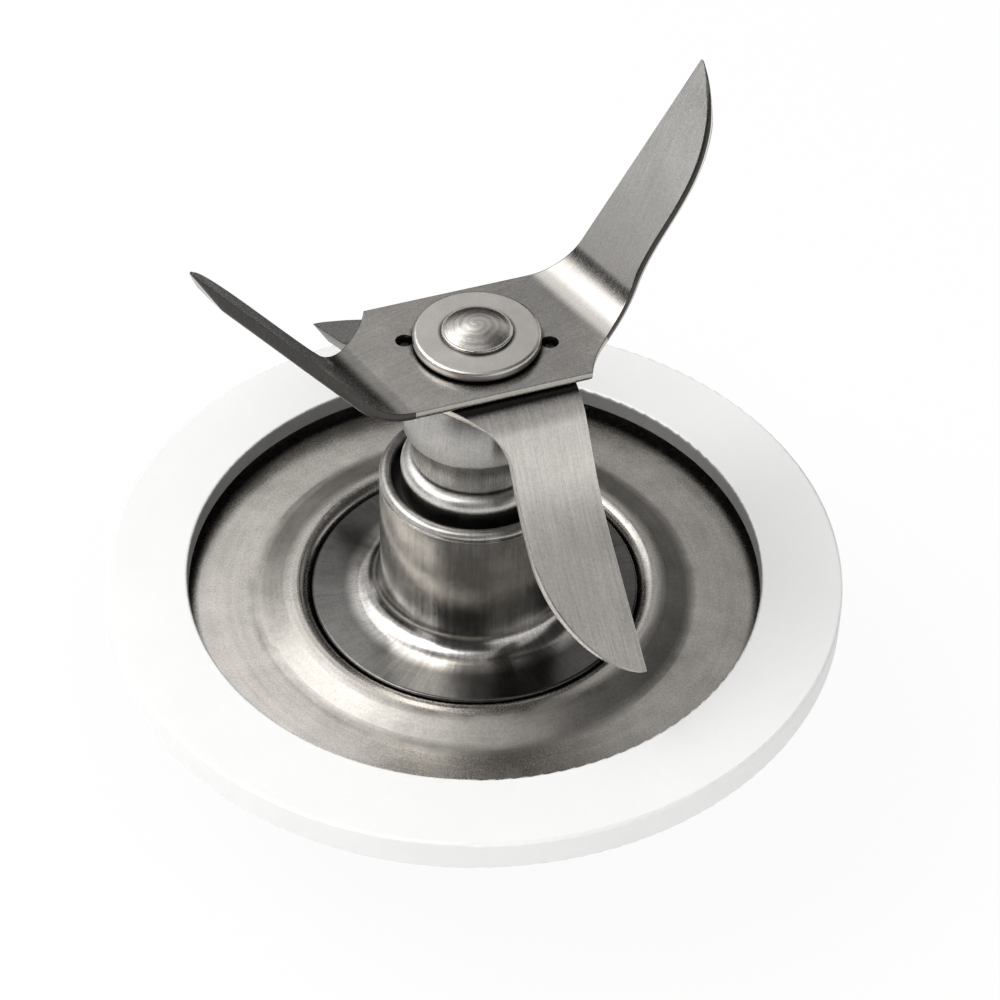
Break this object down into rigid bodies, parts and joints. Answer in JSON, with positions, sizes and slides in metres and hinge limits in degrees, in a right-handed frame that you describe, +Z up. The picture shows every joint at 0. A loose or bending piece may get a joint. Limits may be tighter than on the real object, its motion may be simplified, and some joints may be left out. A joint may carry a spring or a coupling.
{
  "type": "blender blade assembly",
  "caption": "Blender jar blade assembly: crossed bent sheet-steel blades on a sealed shaft, turning in a bearing housing on a pressed plate with a white sealing ring.",
  "frame": {"origin": "on the shaft's axis, at the foot of the bearing housing that the part stands on", "axes": "+Z up along the shaft towards the blades, +X across the front of the picture to the right"},
  "size_m": [0.06, 0.06, 0.0626],
  "materials": {
    "white_rubber": "matte moulded",
    "pressed_steel": "satin",
    "turned_steel": "turned",
    "bright_steel": "polished",
    "plain_steel": "machined",
    "blade_steel": "brushed",
    "sintered_bronze": "porous, oiled",
    "grey_felt": "oiled felt",
    "black_rubber": "moulded",
    "black_nylon": "moulded"
  },
  "bodies": {
    "base": {"sealing_ring": "white_rubber", "base_plate": "pressed_steel", "bearing_housing": "turned_steel", "flange_seal": "black_rubber", "backing_washer": "plain_steel", "clamp_nut": "plain_steel", "upper_bushing": "sintered_bronze", "felt_oil_ring": "grey_felt", "lower_bushing": "sintered_bronze", "upper_thrust_washer": "black_nylon", "seal_cup": "bright_steel", "shaft_seal": "black_rubber"},
    "rotor": {"drive_shaft": "plain_steel", "drive_socket": "black_nylon", "lower_thrust_washer": "black_nylon", "spacer_sleeve": "turned_steel", "dome_collar": "turned_steel", "lower_blade": "blade_steel", "upper_blade": "blade_steel", "top_washer": "bright_steel"}
  },
  "joints": [
    {"name": "blade_spin", "type": "hinge", "parent": "base", "child": "rotor", "pos_m": [0, 0, 0.0213], "axis": [0, 0, 1], "continuous": true}
  ]
}
